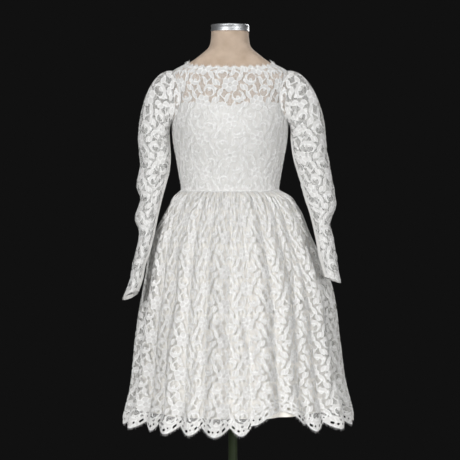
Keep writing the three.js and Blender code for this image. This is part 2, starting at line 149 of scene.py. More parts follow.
SLEEVE_HEAD = {"out_top": 60, "out_under": 8, "drop_top": 88, "drop_under": 12, "rise": 0.15}
ARMHOLE_SKIN = 4.5        # the sleeve's first ring stands this far off the form

# Layers of the bodice, out from the form
LINING_OUT = 1.8
NET_OUT = 3.0
LACE_OUT = 3.3
CORD_RISE = 0.5           # corded outlines stand this far above the lace

# Mesh steps
LACE_CELL = 2.4
NET_CELL = 6.0

rng = np.random.default_rng(7)


def smooth_rows(table, z):
    """Rows of a rising table at heights z, on a smooth curve: a cubic through each pair of rows."""
    heights = table[:, 0]
    slopes = np.gradient(table[:, 1:], heights, axis=0)
    z = np.clip(np.asarray(z, float), heights[0], heights[-1])
    low = np.clip(np.searchsorted(heights, z, side="right") - 1, 0, len(heights) - 2)
    step = (heights[low + 1] - heights[low])[..., None]
    share = (z - heights[low])[..., None] / step
    near, far = table[low, 1:], table[low + 1, 1:]
    start, end = slopes[low] * step, slopes[low + 1] * step
    square, cube = share ** 2, share ** 3
    return (near * (2 * cube - 3 * square + 1) + start * (cube - 2 * square + share)
            + far * (3 * square - 2 * cube) + end * (cube - square))


def oval(angle, wide, ahead, behind, z):
    """Points on level ovals, whose front and back depths differ."""
    across, forward = np.sin(np.radians(angle)), np.cos(np.radians(angle))
    deep = np.where(forward > 0, ahead, behind)
    return np.stack([wide * across + FORM_SHIFT, -deep * forward, z + 0 * angle], -1)


def body_point(angle, z, out):
    row = smooth_rows(TORSO, z)
    return oval(angle, row[..., 0] + out, row[..., 1] + out, row[..., 2] + out, z)


def armhole_depth(angle, z):
    """Distance outside the armhole's ellipse, in millimetres, negative inside it."""
    wrapped = (angle + 180) % 360 - 180
    side = (np.abs(np.abs(wrapped) - 90)) / ARMHOLE["half_angle"]
    up = (z - ARMHOLE_MIDDLE) / ARMHOLE_HALF
    return (np.hypot(side, up) - 1) * ARMHOLE_HALF


def neck_height(angle):
    ahead = np.cos(np.radians(angle))
    end = np.where(ahead > 0, NECK["front"], NECK["back"])
    return NECK["shoulder"] + (end - NECK["shoulder"]) * np.abs(ahead) ** NECK["curve"]


def crease(u, v, rows):
    """Sum of soft troughs and ridges: place, half length, half width, height and slant of each."""
    total = np.zeros(np.broadcast(u, v).shape)
    for u0, v0, along, across, height, slant in rows:
        turn = math.radians(slant)
        du, dv = u - u0, v - v0
        lengthways = du * math.sin(turn) + dv * math.cos(turn)
        sideways = du * math.cos(turn) - dv * math.sin(turn)
        total += height * np.exp(-(lengthways / along) ** 2 - (sideways / across) ** 2)
    return total


# Skirt surface
FOLDS = np.array(FRONT_FOLDS + BACK_FOLDS, float)
FOLD_EDGES = -90 + np.concatenate([[0], np.cumsum(FOLDS[:, 0])])


def fold_at(angle):
    """Place within the fold from 0 to 1, the fold's number, and its waist and hem heights."""
    number = np.clip(np.searchsorted(FOLD_EDGES, angle, side="right") - 1, 0, len(FOLDS) - 1)
    phase = (angle - FOLD_EDGES[number]) / FOLDS[number, 0]
    return phase, number, FOLDS[number, 1], FOLDS[number, 2]


SKIRT_CREASES = [
    # angle, height, half length, half width, height out, slant
    (-16, 891, 75, 6, -5, 2), (1, 895, 60, 5, -4.5, -3), (8, 978, 34, 4, -3, 0),
    (31, 966, 50, 5, -4.5, 10), (14, 833, 44, 6, -4, -18), (-38, 946, 62, 6, -5, -6),
    (-38, 731, 80, 11, -6, -3), (-3, 655, 105, 7, -5.5, -16), (12, 575, 140, 7, -6, -9),
    (41, 790, 75, 7, -5.5, 8), (-43, 490, 75, 9, -6, -12), (-22, 560, 95, 7, -4.5, 5),
    (-55, 820, 80, 8, -5, -8), (60, 700, 100, 9, -6, 6), (56, 500, 90, 8, -5.5, 9),
    (-66, 600, 100, 9, -5, -7), (26, 690, 70, 6, -4.5, 12), (-28, 800, 60, 6, -4, 9),
    (-8, 470, 60, 7, -4, 7), (36, 480, 60, 7, -4.5, -6), (-10, 985, 26, 4, -3, -8),
    (20, 985, 24, 4, -3, 6), (-28, 982, 28, 4, -3, 5), (44, 975, 32, 5, -3.5, -6),
    (100, 890, 80, 7, -5, 4), (118, 780, 90, 8, -5.5, -9), (128, 950, 50, 5, -4, 6),
    (138, 640, 110, 8, -6, 7), (150, 860, 70, 6, -5, -5), (158, 520, 80, 8, -5, 12),
    (168, 930, 55, 5, -4.5, -3), (176, 720, 120, 8, -6, 6), (187, 880, 60, 6, -4.5, 8),
    (196, 600, 100, 8, -5.5, -10), (206, 940, 50, 5, -4, -4), (214, 760, 90, 8, -6, 5),
    (226, 500, 80, 8, -5, -6), (233, 890, 75, 7, -5, -7), (246, 650, 100, 9, -6, 8),
    (258, 810, 85, 8, -5, 6),
]


def skirt_point(angle, z, out, share=1.0, lining=False):
    phase, number, waist, hem = fold_at(angle)
    row = smooth_rows(SKIRT, z)
    arch = np.sin(np.pi * phase)
    rounded = FOLD["round"] * arch + (1 - FOLD["round"]) * arch ** 2
    uneven = 1 + FOLD["uneven"] * np.sin(z / FOLD["wander"] + FOLD["stagger"] * number)
    stand = share * rounded * uneven * (row[..., 4] * waist + row[..., 5] * hem)
    # Small pleats that the gathering thread draws up, gone a hand below the waist.
    pleats = PLEATS["height"] * row[..., 4] * np.exp(-np.maximum(PLEATS["from"] - z, 0) / PLEATS["fade"])
    beat = np.abs(np.sin(np.pi * (PLEATS["per_fold"] * phase + PLEATS["stagger"] * number)))
    stand = stand + share * pleats * (beat - PLEATS["middle"])
    # Creases that sit across the folds, narrower than they are.
    rows = [(a * WEAR["per_degree"], *rest) for a, *rest in SKIRT_CREASES]
    worn = WEAR["depth"] * crease(angle * WEAR["per_degree"], z, rows)
    if lining:
        worn = UNDERSKIRT["creases"] * worn
    reach = out + stand + worn * np.clip((z - LACE_HEM) / WEAR["fade"], 0, 1)
    wide = np.where(np.sin(np.radians(angle)) > 0, row[..., 1], row[..., 0]) + reach
    if lining:
        narrow = [np.interp(z, LINING_IN[:, 0], LINING_IN[:, side]) for side in (1, 2)]
        aside = np.sin(np.radians(angle))
        wide = wide - aside ** 2 * np.where(aside > 0, narrow[1], narrow[0])
    return oval(angle, wide, row[..., 2] + reach, row[..., 3] + reach, z)


def lace_hem(angle):
    phase = fold_at(angle)[0]
    caught = np.exp(-((angle - HEM_CATCH["angle"]) / HEM_CATCH["spread"]) ** 4)
    drop = SCALLOP_DROP * (1 - HEM_CATCH["flatten"] * caught)
    return LACE_HEM + HEM_CATCH["lift"] * caught - drop * np.sin(np.pi * phase)


# Sleeve surface: turn is -90 under the arm, 0 in front and 90 on the outer side. Place runs from 0 at
# the armhole to 1 at the first level ring and 2 at the cuff.
SLEEVE_CREASES = {
    # turn, distance down the sleeve, half length, half width, height, slant
    "left": [(60, 250, 60, 16, -3, 55), (20, 330, 55, 14, -3.5, 70), (110, 350, 60, 12, -3, -60),
             (30, 400, 45, 10, 2.5, 75), (60, 455, 60, 10, -3, -70), (0, 505, 50, 9, -2.5, 65),
             (90, 540, 60, 9, 2, 70), (40, 590, 50, 8, -2, -75), (-60, 300, 60, 14, -3, 50),
             (200, 260, 60, 15, -3, -60), (180, 400, 50, 12, -3, 65), (230, 500, 60, 10, -2.5, -60)],
    "right": [(60, 240, 60, 16, -3, -55), (30, 300, 60, 14, -3, 65), (100, 360, 60, 13, -3.5, 60),
              (40, 395, 45, 10, 2.5, -75), (70, 430, 60, 10, -3, 70), (10, 480, 50, 9, -2.5, -65),
              (90, 520, 60, 9, 2, -70), (40, 560, 50, 8, -2, 75), (-60, 310, 60, 14, -3, -50),
              (200, 270, 60, 15, -3, 60), (180, 390, 50, 12, -3, -65), (230, 480, 60, 10, -2.5, 60)],
}
HEAD_LENGTH = 190         # cloth from the shoulder point to the first level ring
ARM_SLANT = 1.06          # cloth length below that ring for each millimetre of height
SLEEVE_PER_DEGREE = 0.75  # cloth width of a sleeve for each degree of turn


def sleeve_down(table, place):
    """Distance down the sleeve's cloth at a place along it."""
    arm = (table[0, 0] - table[-1, 0]) * ARM_SLANT
    return np.where(place < 1, place * HEAD_LENGTH, HEAD_LENGTH + (place - 1) * arm)


def sleeve_point(name, turn, place, out):
    side = SLEEVE_SIDES[name]
    table = SLEEVE_TABLES[name]
    outer, ahead = np.sin(np.radians(turn)), np.cos(np.radians(turn))
    down = sleeve_down(table, place)
    turn = (turn + 90) % 360 - 90
    rows = [(t * SLEEVE_PER_DEGREE, *rest) for t, *rest in SLEEVE_CREASES[name]]
    out = out + crease(turn * SLEEVE_PER_DEGREE, down, rows)

    grown = 1 + out * np.clip(place, 0, 1) / ARMHOLE_HALF
    hole = body_point(side * (90 - ARMHOLE["half_angle"] * grown * ahead),
                      ARMHOLE_MIDDLE + ARMHOLE_HALF * grown * outer, ARMHOLE_SKIN)
    z0, x0, y0, rx0, ry0 = table[0]
    first = np.stack([side * (x0 + (rx0 + out) * outer) + FORM_SHIFT,
                      y0 - (ry0 + out) * ahead, z0 + 0 * turn], -1)
    upward = (1 + outer) / 2
    reach = SLEEVE_HEAD["out_under"] + (SLEEVE_HEAD["out_top"] - SLEEVE_HEAD["out_under"]) * upward
    drop = SLEEVE_HEAD["drop_under"] + (SLEEVE_HEAD["drop_top"] - SLEEVE_HEAD["drop_under"]) * upward
    none = np.zeros_like(reach)
    leave = hole + np.stack([side * reach, none, SLEEVE_HEAD["rise"] * reach], -1)
    arrive = first + np.stack([none, none, drop], -1)
    s = np.clip(place, 0, 1)[..., None]
    head = hole * (1 - s) ** 3 + 3 * leave * s * (1 - s) ** 2 + 3 * arrive * s ** 2 * (1 - s) + first * s ** 3

    lower = np.clip(place - 1, 0, 1)
    z = z0 + (table[-1, 0] - z0) * lower
    row = smooth_rows(table[::-1], z)
    tilt_outer, tilt_front = CUFF_TILT[name]
    x = side * (row[..., 0] + (row[..., 2] + out) * outer) + FORM_SHIFT
    y = row[..., 1] - (row[..., 3] + out) * ahead
    arm = np.stack([x, y, z + lower ** 4 * (tilt_outer * outer + tilt_front * ahead)], -1)
    return np.where(place[..., None] < 1, head, arm)


# Lace chart: one repeat of a flower, two scrolls round net windows, leaves, buds and stems, set in
# columns with a half drop, every other column mirrored.
REPEAT_ACROSS = 73
REPEAT_UP = 97
FLOWER = {"petals": 6, "petal": 8.4, "out": 13.2, "heart": 7.6, "turn": 0.25}
SCROLLS = [(-21, 33, -62), (21, -33, 118)]                          # middle and the way that each opens
SCROLL = {"outer": 16.5, "window": 12, "shift": 5.2, "scallop": 1.3, "scallops": 9, "line": 0.95}
LEAVES = [(25, 20, 14, 5.8, 58), (-25, -20, 14, 5.8, 58), (31, -6, 11, 5, -62), (-31, 6, 11, 5, -62),
          (9, 38, 13, 5.4, 78), (-9, -38, 13, 5.4, 78), (33, 41, 12, 5.4, 64), (-33, -41, 12, 5.4, 64)]
BUDS = [(36, 12, 4), (-36, -12, 4), (-20, 35, 4.4), (20, -35, 4.4), (2, 27, 3.6), (-2, -27, 3.6)]
STEM = {"sway": 25, "half": 1.3, "middle": 31, "long": 9}
LEAF_EDGE = 0.8           # evens a leaf's field out towards a true distance
MOTIF_REACH = (56, 62)    # no shape of a repeat lies past this, across and up
FAR_AWAY = 9.0
CORD = {"inset": 0.5, "half": 1.3}
EYELETS = {"waves": 3, "beside": 1.7, "ring": 4.6, "spot": 1.7}
NET_MESH = {"pitch": 2.2, "thread": 0.1}


def motif(x, y):
    """Depth inside each shape of one repeat about its flower, as a list of fields."""
    fields = [FLOWER["heart"] - np.hypot(x, y)]
    for k in range(FLOWER["petals"]):
        turn = 2 * np.pi * (k + FLOWER["turn"]) / FLOWER["petals"]
        dx, dy = x - FLOWER["out"] * np.cos(turn), y - FLOWER["out"] * np.sin(turn)
        fields.append(FLOWER["petal"] - np.hypot(dx, dy))
    swing = 2 * np.pi / REPEAT_UP
    lean = STEM["sway"] * swing * np.cos(swing * y)
    stem = STEM["half"] - np.abs(x - STEM["sway"] * np.sin(swing * y)) / np.sqrt(1 + lean ** 2)
    fields.append(np.minimum(stem, STEM["long"] - np.abs(np.abs(y) - STEM["middle"])))
    for x0, y0, opens in SCROLLS:
        dx, dy = x - x0, y - y0
        turn = math.radians(opens)
        wave = SCROLL["scallop"] * np.cos(SCROLL["scallops"] * np.arctan2(dy, dx))
        window = np.hypot(dx - SCROLL["shift"] * math.cos(turn), dy - SCROLL["shift"] * math.sin(turn))
        fields.append(np.minimum(SCROLL["outer"] + wave - np.hypot(dx, dy), window - SCROLL["window"]))
        fields.append(SCROLL["line"] - np.abs(window - SCROLL["window"]))
    for x0, y0, half, wide, slant in LEAVES:
        turn = math.radians(slant)
        along = (x - x0) * math.cos(turn) + (y - y0) * math.sin(turn)
        aside = -(x - x0) * math.sin(turn) + (y - y0) * math.cos(turn)
        fields.append(LEAF_EDGE * (wide * (1 - (along / half) ** 2) - np.abs(aside)))
    for x0, y0, radius in BUDS:
        fields.append(radius - np.hypot(x - x0, y - y0))
    return fields


def lace_chart(s, t):
    """Depth inside the lace at cloth places s across and t up, and the distance to the nearest outline."""
    column = np.floor(s / REPEAT_ACROSS + 0.5)
    depth = np.full(np.shape(s), -FAR_AWAY)
    outline = np.full(np.shape(s), FAR_AWAY)
    for beside in (-1, 0, 1):
        here = column + beside
        odd = here % 2
        x = (s - here * REPEAT_ACROSS) * (1 - 2 * odd)
        y = (t - odd * REPEAT_UP / 2 + REPEAT_UP / 2) % REPEAT_UP - REPEAT_UP / 2
        for above in (-REPEAT_UP, 0, REPEAT_UP):
            near = (np.abs(x) < MOTIF_REACH[0]) & (np.abs(y + above) < MOTIF_REACH[1])
            for field in motif(x[near], (y + above)[near]):
                depth[near] = np.maximum(depth[near], field)
                outline[near] = np.minimum(outline[near], np.abs(field - CORD["inset"]))
    return depth, outline


def relief(s, t):
    """Height of the worked lace above its ground: raised along the outlines."""
    return CORD_RISE * np.exp(-(lace_chart(s, t)[1] / CORD["half"]) ** 2)


# Mesh from a grid cut along the zero line of a field
CORNERS = ((0, 0), (0, 1), (1, 1), (1, 0))
EDGE_SHARES = (0.03, 0.97)  # a cut point keeps this far from the grid's own points


def cut_sheet(name, across, along, field, place, cloth, worked=False):
    """A sheet over a grid, kept where the field is above zero. place gives points in millimetres
    and cloth the flat coordinates. The cut edges lie on the field's zero line."""
    u, v = np.meshgrid(across, along)
    depth = field(u, v)
    inside = depth > 0
    rows, columns = depth.shape
    ids = np.full((3, rows, columns), -1)
    spots = []
    count = 0

    def number(layer, mask, uu, vv):
        nonlocal count
        ids[layer][: mask.shape[0], : mask.shape[1]][mask] = count + np.arange(mask.sum())
        count += int(mask.sum())
        spots.append(np.stack([uu[mask], vv[mask]], -1))

    number(0, inside, u, v)
    for layer, step in ((1, (0, 1)), (2, (1, 0))):
        near = (slice(0, rows - step[0]), slice(0, columns - step[1]))
        far = (slice(step[0], rows), slice(step[1], columns))
        crossed = inside[near] != inside[far]
        share = depth[near] / np.where(crossed, depth[near] - depth[far], 1)
        share = np.clip(share, *EDGE_SHARES)
        number(layer, crossed, u[near] + share * (u[far] - u[near]), v[near] + share * (v[far] - v[near]))

    corner = [inside[j: rows - 1 + j, i: columns - 1 + i] for j, i in CORNERS]
    corner_id = [ids[0][j: rows - 1 + j, i: columns - 1 + i] for j, i in CORNERS]
    edge_id = [ids[1][: rows - 1, : columns - 1], ids[2][: rows - 1, 1:columns],
               ids[1][1:rows, : columns - 1], ids[2][: rows - 1, : columns - 1]]
    case = sum(corner[k].astype(int) << k for k in range(4))
    faces = []
    for code in range(1, 16):
        cells = case == code
        ring = []
        for k in range(4):
            here, following = code >> k & 1, code >> ((k + 1) % 4) & 1
            if here:
                ring.append(corner_id[k][cells])
            if here != following:
                ring.append(edge_id[k][cells])
        faces += np.stack(ring, -1).tolist()
    flat_place = np.concatenate(spots)
    points = place(flat_place[:, 0], flat_place[:, 1])
    flat = cloth(flat_place[:, 0], flat_place[:, 1])
    return mesh_object(name, points, faces, flat, lace_chart(*flat)[1] if worked else None)


def mesh_object(name, points, faces, cloth=None, outline=None):
    mesh = bpy.data.meshes.new(name)
    mesh.from_pydata((np.asarray(points) * MM).tolist(), [], faces)
    mesh.polygons.foreach_set("use_smooth", np.ones(len(mesh.polygons), bool))
    if cloth is not None:
        corner = np.empty(len(mesh.loops), int)
        mesh.loops.foreach_get("vertex_index", corner)
        layer = mesh.uv_layers.new(name="cloth")
        layer.data.foreach_set("uv", (np.stack(cloth, -1) * MM)[corner].ravel())
    if outline is not None:
        mesh.attributes.new("outline", "FLOAT", "POINT").data.foreach_set("value", outline.astype(np.float32))
    mesh.update()
    piece = bpy.data.objects.new(name, mesh)
    bpy.context.scene.collection.objects.link(piece)
    return piece


# Materials
def linear(red, green, blue):
    """A colour of 0 to 255 screen values as the shader's linear values."""
    values = [c / 255 for c in (red, green, blue)]
    return tuple(c / 12.92 if c <= 0.04045 else ((c + 0.055) / 1.055) ** 2.4 for c in values) + (1,)


class Finish:
    """A node material around one Principled shader, built step by step."""

    def __init__(self, name, roughness, **constants):
        self.material = bpy.data.materials.new(name)
        self.material.use_nodes = True
        self.nodes = self.material.node_tree.nodes
        self.links = self.material.node_tree.links
        self.shader = self.nodes["Principled BSDF"]
        self.shader.inputs["Roughness"].default_value = roughness
        for socket, value in constants.items():
            self.shader.inputs[socket.replace("_", " ")].default_value = value

    def node(self, kind, **settings):
        made = self.nodes.new(kind)
        for name, value in settings.items():
            if name in made.inputs:
                made.inputs[name].default_value = value
            else:
                setattr(made, name, value)
        return made

    def link(self, source, target):
        self.links.new(source, target)

    def math(self, operation, first, second):
        made = self.node("ShaderNodeMath", operation=operation)
        for socket, value in zip(made.inputs, (first, second)):
            if isinstance(value, (int, float)):
                socket.default_value = value
            else:
                self.link(value, socket)
        return made.outputs[0]

    def place(self, on_cloth):
        made = self.node("ShaderNodeTexCoord")
        return made.outputs["UV" if on_cloth else "Object"]

    def noise(self, scale, detail=3, on_cloth=True):
        made = self.node("ShaderNodeTexNoise", Scale=scale, Detail=detail)
        self.link(self.place(on_cloth), made.inputs["Vector"])
        return made.outputs["Fac"]

    def bands(self, scale, direction, on_cloth=True, distortion=0.0):
        made = self.node("ShaderNodeTexWave", bands_direction=direction, Scale=scale, Distortion=distortion)
        self.link(self.place(on_cloth), made.inputs["Vector"])
        return made.outputs["Fac"]

    def colour(self, factor, dark, light):
        ramp = self.node("ShaderNodeValToRGB")
        ramp.color_ramp.elements[0].color = linear(*dark)
        ramp.color_ramp.elements[1].color = linear(*light)
        ramp.color_ramp.elements[0].position = 0.3
        ramp.color_ramp.elements[1].position = 0.7
        self.link(factor, ramp.inputs["Fac"])
        self.link(ramp.outputs["Color"], self.shader.inputs["Base Color"])

    def bump(self, height, strength, distance):
        made = self.node("ShaderNodeBump", Strength=strength, Distance=distance)
        self.link(height, made.inputs["Height"])
        self.link(made.outputs["Normal"], self.shader.inputs["Normal"])


def flower_eyelets(f):
    """A ring of small eyelets in the heart of each flower of the lace chart."""
    split = f.node("ShaderNodeSeparateXYZ")
    f.link(f.place(True), split.inputs[0])
    across = f.math("MULTIPLY", split.outputs["X"], 1 / MM)
    up = f.math("MULTIPLY", split.outputs["Y"], 1 / MM)
    column = f.math("FLOOR", f.math("ADD", f.math("DIVIDE", across, REPEAT_ACROSS), 0.5), 0)
    odd = f.math("FLOORED_MODULO", column, 2)
    x = f.math("SUBTRACT", across, f.math("MULTIPLY", column, REPEAT_ACROSS))
    y = f.math("SUBTRACT", up, f.math("MULTIPLY", odd, REPEAT_UP / 2))
    y = f.math("FLOORED_MODULO", f.math("ADD", y, REPEAT_UP / 2), REPEAT_UP)
    y = f.math("SUBTRACT", y, REPEAT_UP / 2)
    r = f.math("SQRT", f.math("ADD", f.math("MULTIPLY", x, x), f.math("MULTIPLY", y, y)), 0)
    way = f.math("ARCTAN2", y, x)
    wave = f.math("SINE", f.math("MULTIPLY", way, EYELETS["waves"]), 0)
    beside = f.math("MULTIPLY", wave, EYELETS["beside"])
    off = f.math("SUBTRACT", r, EYELETS["ring"])
    spot = f.math("ADD", f.math("MULTIPLY", beside, beside), f.math("MULTIPLY", off, off))
    return f.math("LESS_THAN", spot, EYELETS["spot"])


def lace_finish():
    """Cotton thread: a close fill and whiter corded outlines, with eyelets in the flowers."""
    f = Finish("lace_thread", 0.82, Sheen_Weight=0.25, Sheen_Roughness=0.5)
    outline = f.node("ShaderNodeAttribute", attribute_name="outline").outputs["Fac"]
    corded = f.node("ShaderNodeMapRange")
    f.link(outline, corded.inputs["Value"])
    for socket, value in (("From Min", 0.4), ("From Max", 1.5), ("To Min", 1), ("To Max", 0)):
        corded.inputs[socket].default_value = value
    cord = corded.outputs["Result"]
    f.colour(f.math("ADD", f.math("MULTIPLY", cord, 0.62), f.math("MULTIPLY", f.noise(60, 4), 0.4)),
             (211, 210, 208), (233, 233, 232))
    threads = f.math("ADD", f.bands(700, "X", distortion=2.0), f.bands(900, "Y", distortion=2.0))
    f.bump(f.math("ADD", f.math("MULTIPLY", threads, 0.35), cord), 0.4, 0.0007)
    f.link(f.math("SUBTRACT", 1.0, flower_eyelets(f)), f.shader.inputs["Alpha"])
    return f.material


def net_finish():
    """Fine diamond net: threads 2 mm apart on both slants, clear between them."""
    f = Finish("lace_net", 0.85, Sheen_Weight=0.15)
    f.colour(f.noise(40), (226, 225, 222), (236, 236, 234))
    split = f.node("ShaderNodeSeparateXYZ")
    f.link(f.place(True), split.inputs[0])
    threads = []
    for operation in ("ADD", "SUBTRACT"):
        slant = f.math(operation, split.outputs["X"], split.outputs["Y"])
        saw = f.math("PINGPONG", f.math("MULTIPLY", slant, 1 / MM / NET_MESH["pitch"]), 0.5)
        threads.append(f.math("LESS_THAN", saw, NET_MESH["thread"]))
    f.link(f.math("MAXIMUM", *threads), f.shader.inputs["Alpha"])
    return f.material


def lining_finish(name, dark, light):
    """Taffeta: a soft sheen, a fine plain weave and slight crumples."""
    f = Finish(name, 0.5, Sheen_Weight=0.2, Sheen_Roughness=0.4)
    f.colour(f.noise(9, 5), dark, light)
    weave = f.math("MULTIPLY", f.bands(900, "X"), f.bands(900, "Y"))
    f.bump(f.math("ADD", weave, f.math("MULTIPLY", f.noise(28, 5), 5)), 0.35, 0.0006)
    return f.material


def linen_finish():
    """The form's tan linen cover, with slubs."""
    f = Finish("form_linen", 0.88, Sheen_Weight=0.15)
    f.colour(f.noise(35, 6, False), (189, 167, 146), (207, 186, 166))
    weave = f.math("ADD", f.bands(420, "X", False, 1.5), f.bands(420, "Z", False, 1.5))
    f.bump(weave, 0.6, 0.0005)
    return f.material


def steel_finish():
    f = Finish("cap_steel", 0.45, Metallic=0.85)
    f.colour(f.noise(25, 4, False), (176, 178, 181), (204, 206, 208))
    f.bump(f.bands(300, "Z", False, 3), 0.15, 0.0002)
    return f.material


def enamel_finish():
    """Dark green enamel, brushed on, with a slight orange-peel."""
    f = Finish("stand_enamel", 0.6, Specular_IOR_Level=0.25, Coat_Weight=0.04, Coat_Roughness=0.4)
    f.colour(f.noise(12, 5, False), (20, 30, 8), (31, 43, 15))
    f.bump(f.noise(260, 3, False), 0.2, 0.0004)
    return f.material


LACE = lace_finish()
NET = net_finish()
# The underskirt keeps its own faint cream, but it is painted lighter than the lace. That painted light
# offsets the shade that the lace and net cast on it.
UNDERSKIRT_TAFFETA_PAINTED_LIGHTER = lining_finish("underskirt_taffeta_painted_lighter", (238, 233, 224), (246, 243, 237))
BODICE_LINING = lining_finish("bodice_taffeta", (222, 221, 218), (232, 231, 229))
LINEN = linen_finish()
STEEL = steel_finish()
ENAMEL = enamel_finish()


def finished(piece, material, *nodes):
    """Give a piece its finish, its body and the solids that it stands for."""
    piece.data.materials.append(material)
    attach(piece, "root")
    if nodes:
        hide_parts(*nodes)
    return piece


# Form and stand
FORM_MESH = {"sides": 120, "levels": 110}
SHARP_EDGE = 35
BOSS = {"foot": 50, "narrows": 16, "curve": 0.7, "from": 30, "rise": 14}


def ring_solid(name, rings):
    """A closed surface through rings of points, with flat ends."""
    rings = [np.asarray(ring) for ring in rings]
    sides = len(rings[0])
    faces = []
    for j in range(len(rings) - 1):
        for i in range(sides):
            k = (i + 1) % sides
            faces.append([j * sides + i, j * sides + k, (j + 1) * sides + k, (j + 1) * sides + i])
    faces.append(list(range(sides))[::-1])
    faces.append([(len(rings) - 1) * sides + i for i in range(sides)])
    return mesh_object(name, np.concatenate(rings), faces)


def turned(name, profile, x=0.0, sides=72):
    """A solid of revolution through a profile of radius and height, rising."""
    angle = np.linspace(0, 360, sides, endpoint=False)
    rings = [np.stack([r * np.sin(np.radians(angle)) + x, -r * np.cos(np.radians(angle)), z + 0 * angle], -1)
             for r, z in profile]
    piece = ring_solid(name, rings)
    for face in piece.data.polygons:
        face.use_smooth = len(face.vertices) == 4
    split = piece.modifiers.new("edges", "EDGE_SPLIT")
    split.split_angle = math.radians(SHARP_EDGE)
    return piece


def form():
    angle = np.linspace(0, 360, FORM_MESH["sides"], endpoint=False)
    heights = np.linspace(TORSO[0, 0], TORSO[-1, 0], FORM_MESH["levels"])
    rings = [body_point(angle, z + 0 * angle, 0) for z in heights]
    finished(ring_solid("form_cover", rings), LINEN, "form_torso")
    cap = [(53.5, 1461.3), (53.5, 1465), (52.6, 1466), (52.6, 1474), (53.3, 1475), (53.3, 1477), (51, 1479.8)]
    finished(turned("cap", cap, FORM_SHIFT), STEEL, "neck_cap")


def stand():
    pole = [(12.5, 62.3), (12.5, 772.9)]
    finished(turned("pole_tube", pole), ENAMEL, "pole")
    hub = [(26, 773.2), (28, 773.7), (44, 790), (46, 793), (46, 799.7)]
    finished(turned("hub", hub), ENAMEL, "form_hub")
    flare = np.linspace(0, 1, 9)
    base = [(208.5, 0), (210, 1.5), (210, 11), (207, 15), (200, 21)]
    base += [(BOSS["foot"] - BOSS["narrows"] * s ** BOSS["curve"], BOSS["from"] + BOSS["rise"] * s)
             for s in flare]
    base += [(26.5, 60.5), (25, 62)]
    finished(turned("base_plate", base), ENAMEL, "base")


form()
stand()


# Bodice
BODICE_ACROSS = 2.62      # cloth width of the bodice for each degree
BODICE_TOP = 1382         # no lace stands higher
BODICE_EASE = {"out": 1.4, "reach": 26, "below": 1330}
BODICE_WEAR = 2.2         # crease width for each degree
NECK_SCALLOP = {"pitch": 25, "rise": 5}
NECK_BORDER = [(3.5, 4), (15, 2.2)]                                 # distance below the edge, half width
SEAM_WORK = {"armhole": 3.5, "waist": 3, "sleeve": 3, "cuff": 9}    # close work along the seams
LINING_STEPS = {"bodice": 2, "skirt": 1.1}                          # degrees
BODICE_CREASES = [
    # angle, height, half length, half width, height out, slant
    (-24, 1085, 60, 6, -1, 3), (24, 1085, 60, 6, -1, -3), (-48, 1045, 30, 9, 1.2, 60),
    (50, 1050, 34, 9, 1.2, -60), (-12, 1040, 22, 9, 0.9, 70), (14, 1046, 26, 8, 0.9, -72),
    (-60, 1180, 40, 10, -1.2, -40), (60, 1180, 40, 10, -1.2, 40), (35, 1290, 40, 12, -0.8, 40),
    (-35, 1290, 40, 12, -0.8, -40), (150, 1060, 40, 8, 1.1, 65), (-150, 1055, 36, 8, 1.1, -65),
    (165, 1120, 40, 10, -1, 20), (-165, 1120, 40, 10, -1, -20), (125, 1090, 60, 8, -1, 4),
    (-125, 1090, 60, 8, -1, -4),
]


def bodice_place(angle, z, out):
    """A point on the bodice cloth, eased off the form round the armholes and creased by wear."""
    near_armhole = np.exp(-(armhole_depth(angle, z) / BODICE_EASE["reach"]) ** 2)
    easing = BODICE_EASE["out"] * near_armhole * (z < BODICE_EASE["below"])
    wrapped = (angle + 180) % 360 - 180
    worn = crease(wrapped * BODICE_WEAR, z, [(a * BODICE_WEAR, *rest) for a, *rest in BODICE_CREASES])
    return body_point(angle, z, out + easing + worn)


def neck_edge(angle):
    wave = np.abs(np.sin(np.pi * angle * BODICE_ACROSS / NECK_SCALLOP["pitch"]))
    return neck_height(angle) + NECK_SCALLOP["rise"] * (wave - 0.5)


def bodice_cloth(angle, z):
    return angle * BODICE_ACROSS, z - WAIST


def bodice_bounds(angle, z):
    """Depth inside the cut of the bodice lace: neckline, armholes and waist."""
    return np.minimum(np.minimum(neck_edge(angle) - z, armhole_depth(angle, z)), z - WAIST + 1)


def bodice_lace_field(angle, z):
    depth = lace_chart(*bodice_cloth(angle, z))[0]
    below_neck = neck_edge(angle) - z
    border = np.maximum(*[half - np.abs(below_neck - below) for below, half in NECK_BORDER])
    seam = np.maximum(SEAM_WORK["armhole"] - armhole_depth(angle, z), SEAM_WORK["waist"] - (z - WAIST))
    return np.minimum(np.maximum(np.maximum(depth, border), seam), bodice_bounds(angle, z))


def bodice_lace_place(angle, z):
    return bodice_place(angle, z, LACE_OUT + relief(*bodice_cloth(angle, z)))


def steps(low, high, size):
    return np.linspace(low, high, max(2, int(round((high - low) / size)) + 1))


def bodice_panel(name, node, low, high):
    """One panel of the bodice lace: its net ground, and the lace worked on it."""
    def grid(cell):
        return steps(low, high, cell / BODICE_ACROSS), steps(WAIST, BODICE_TOP, cell)
    net = cut_sheet(f"{name}_net", *grid(NET_CELL / 2), bodice_bounds,
                    lambda a, z: bodice_place(a, z, NET_OUT), bodice_cloth)
    lace = cut_sheet(f"{name}_lace", *grid(LACE_CELL), bodice_lace_field, bodice_lace_place, bodice_cloth,
                     True)
    finished(net, NET, node)
    finished(lace, LACE)
    return net, lace


def lining_top(angle):
    return LINING_TOP - LINING_TOP_DIP["depth"] * np.exp(-(angle / LINING_TOP_DIP["half_angle"]) ** 2)


def bodice_lining(name, node, middle):
    def field(angle, z):
        return np.minimum(armhole_depth(angle, z), lining_top(angle) - z)
    piece = cut_sheet(name, steps(middle - 90, middle + 90, LINING_STEPS["bodice"]),
                      steps(WAIST, LINING_TOP + 4, NET_CELL), field,
                      lambda a, z: bodice_place(a, z, LINING_OUT), bodice_cloth)
    return finished(piece, BODICE_LINING, node)


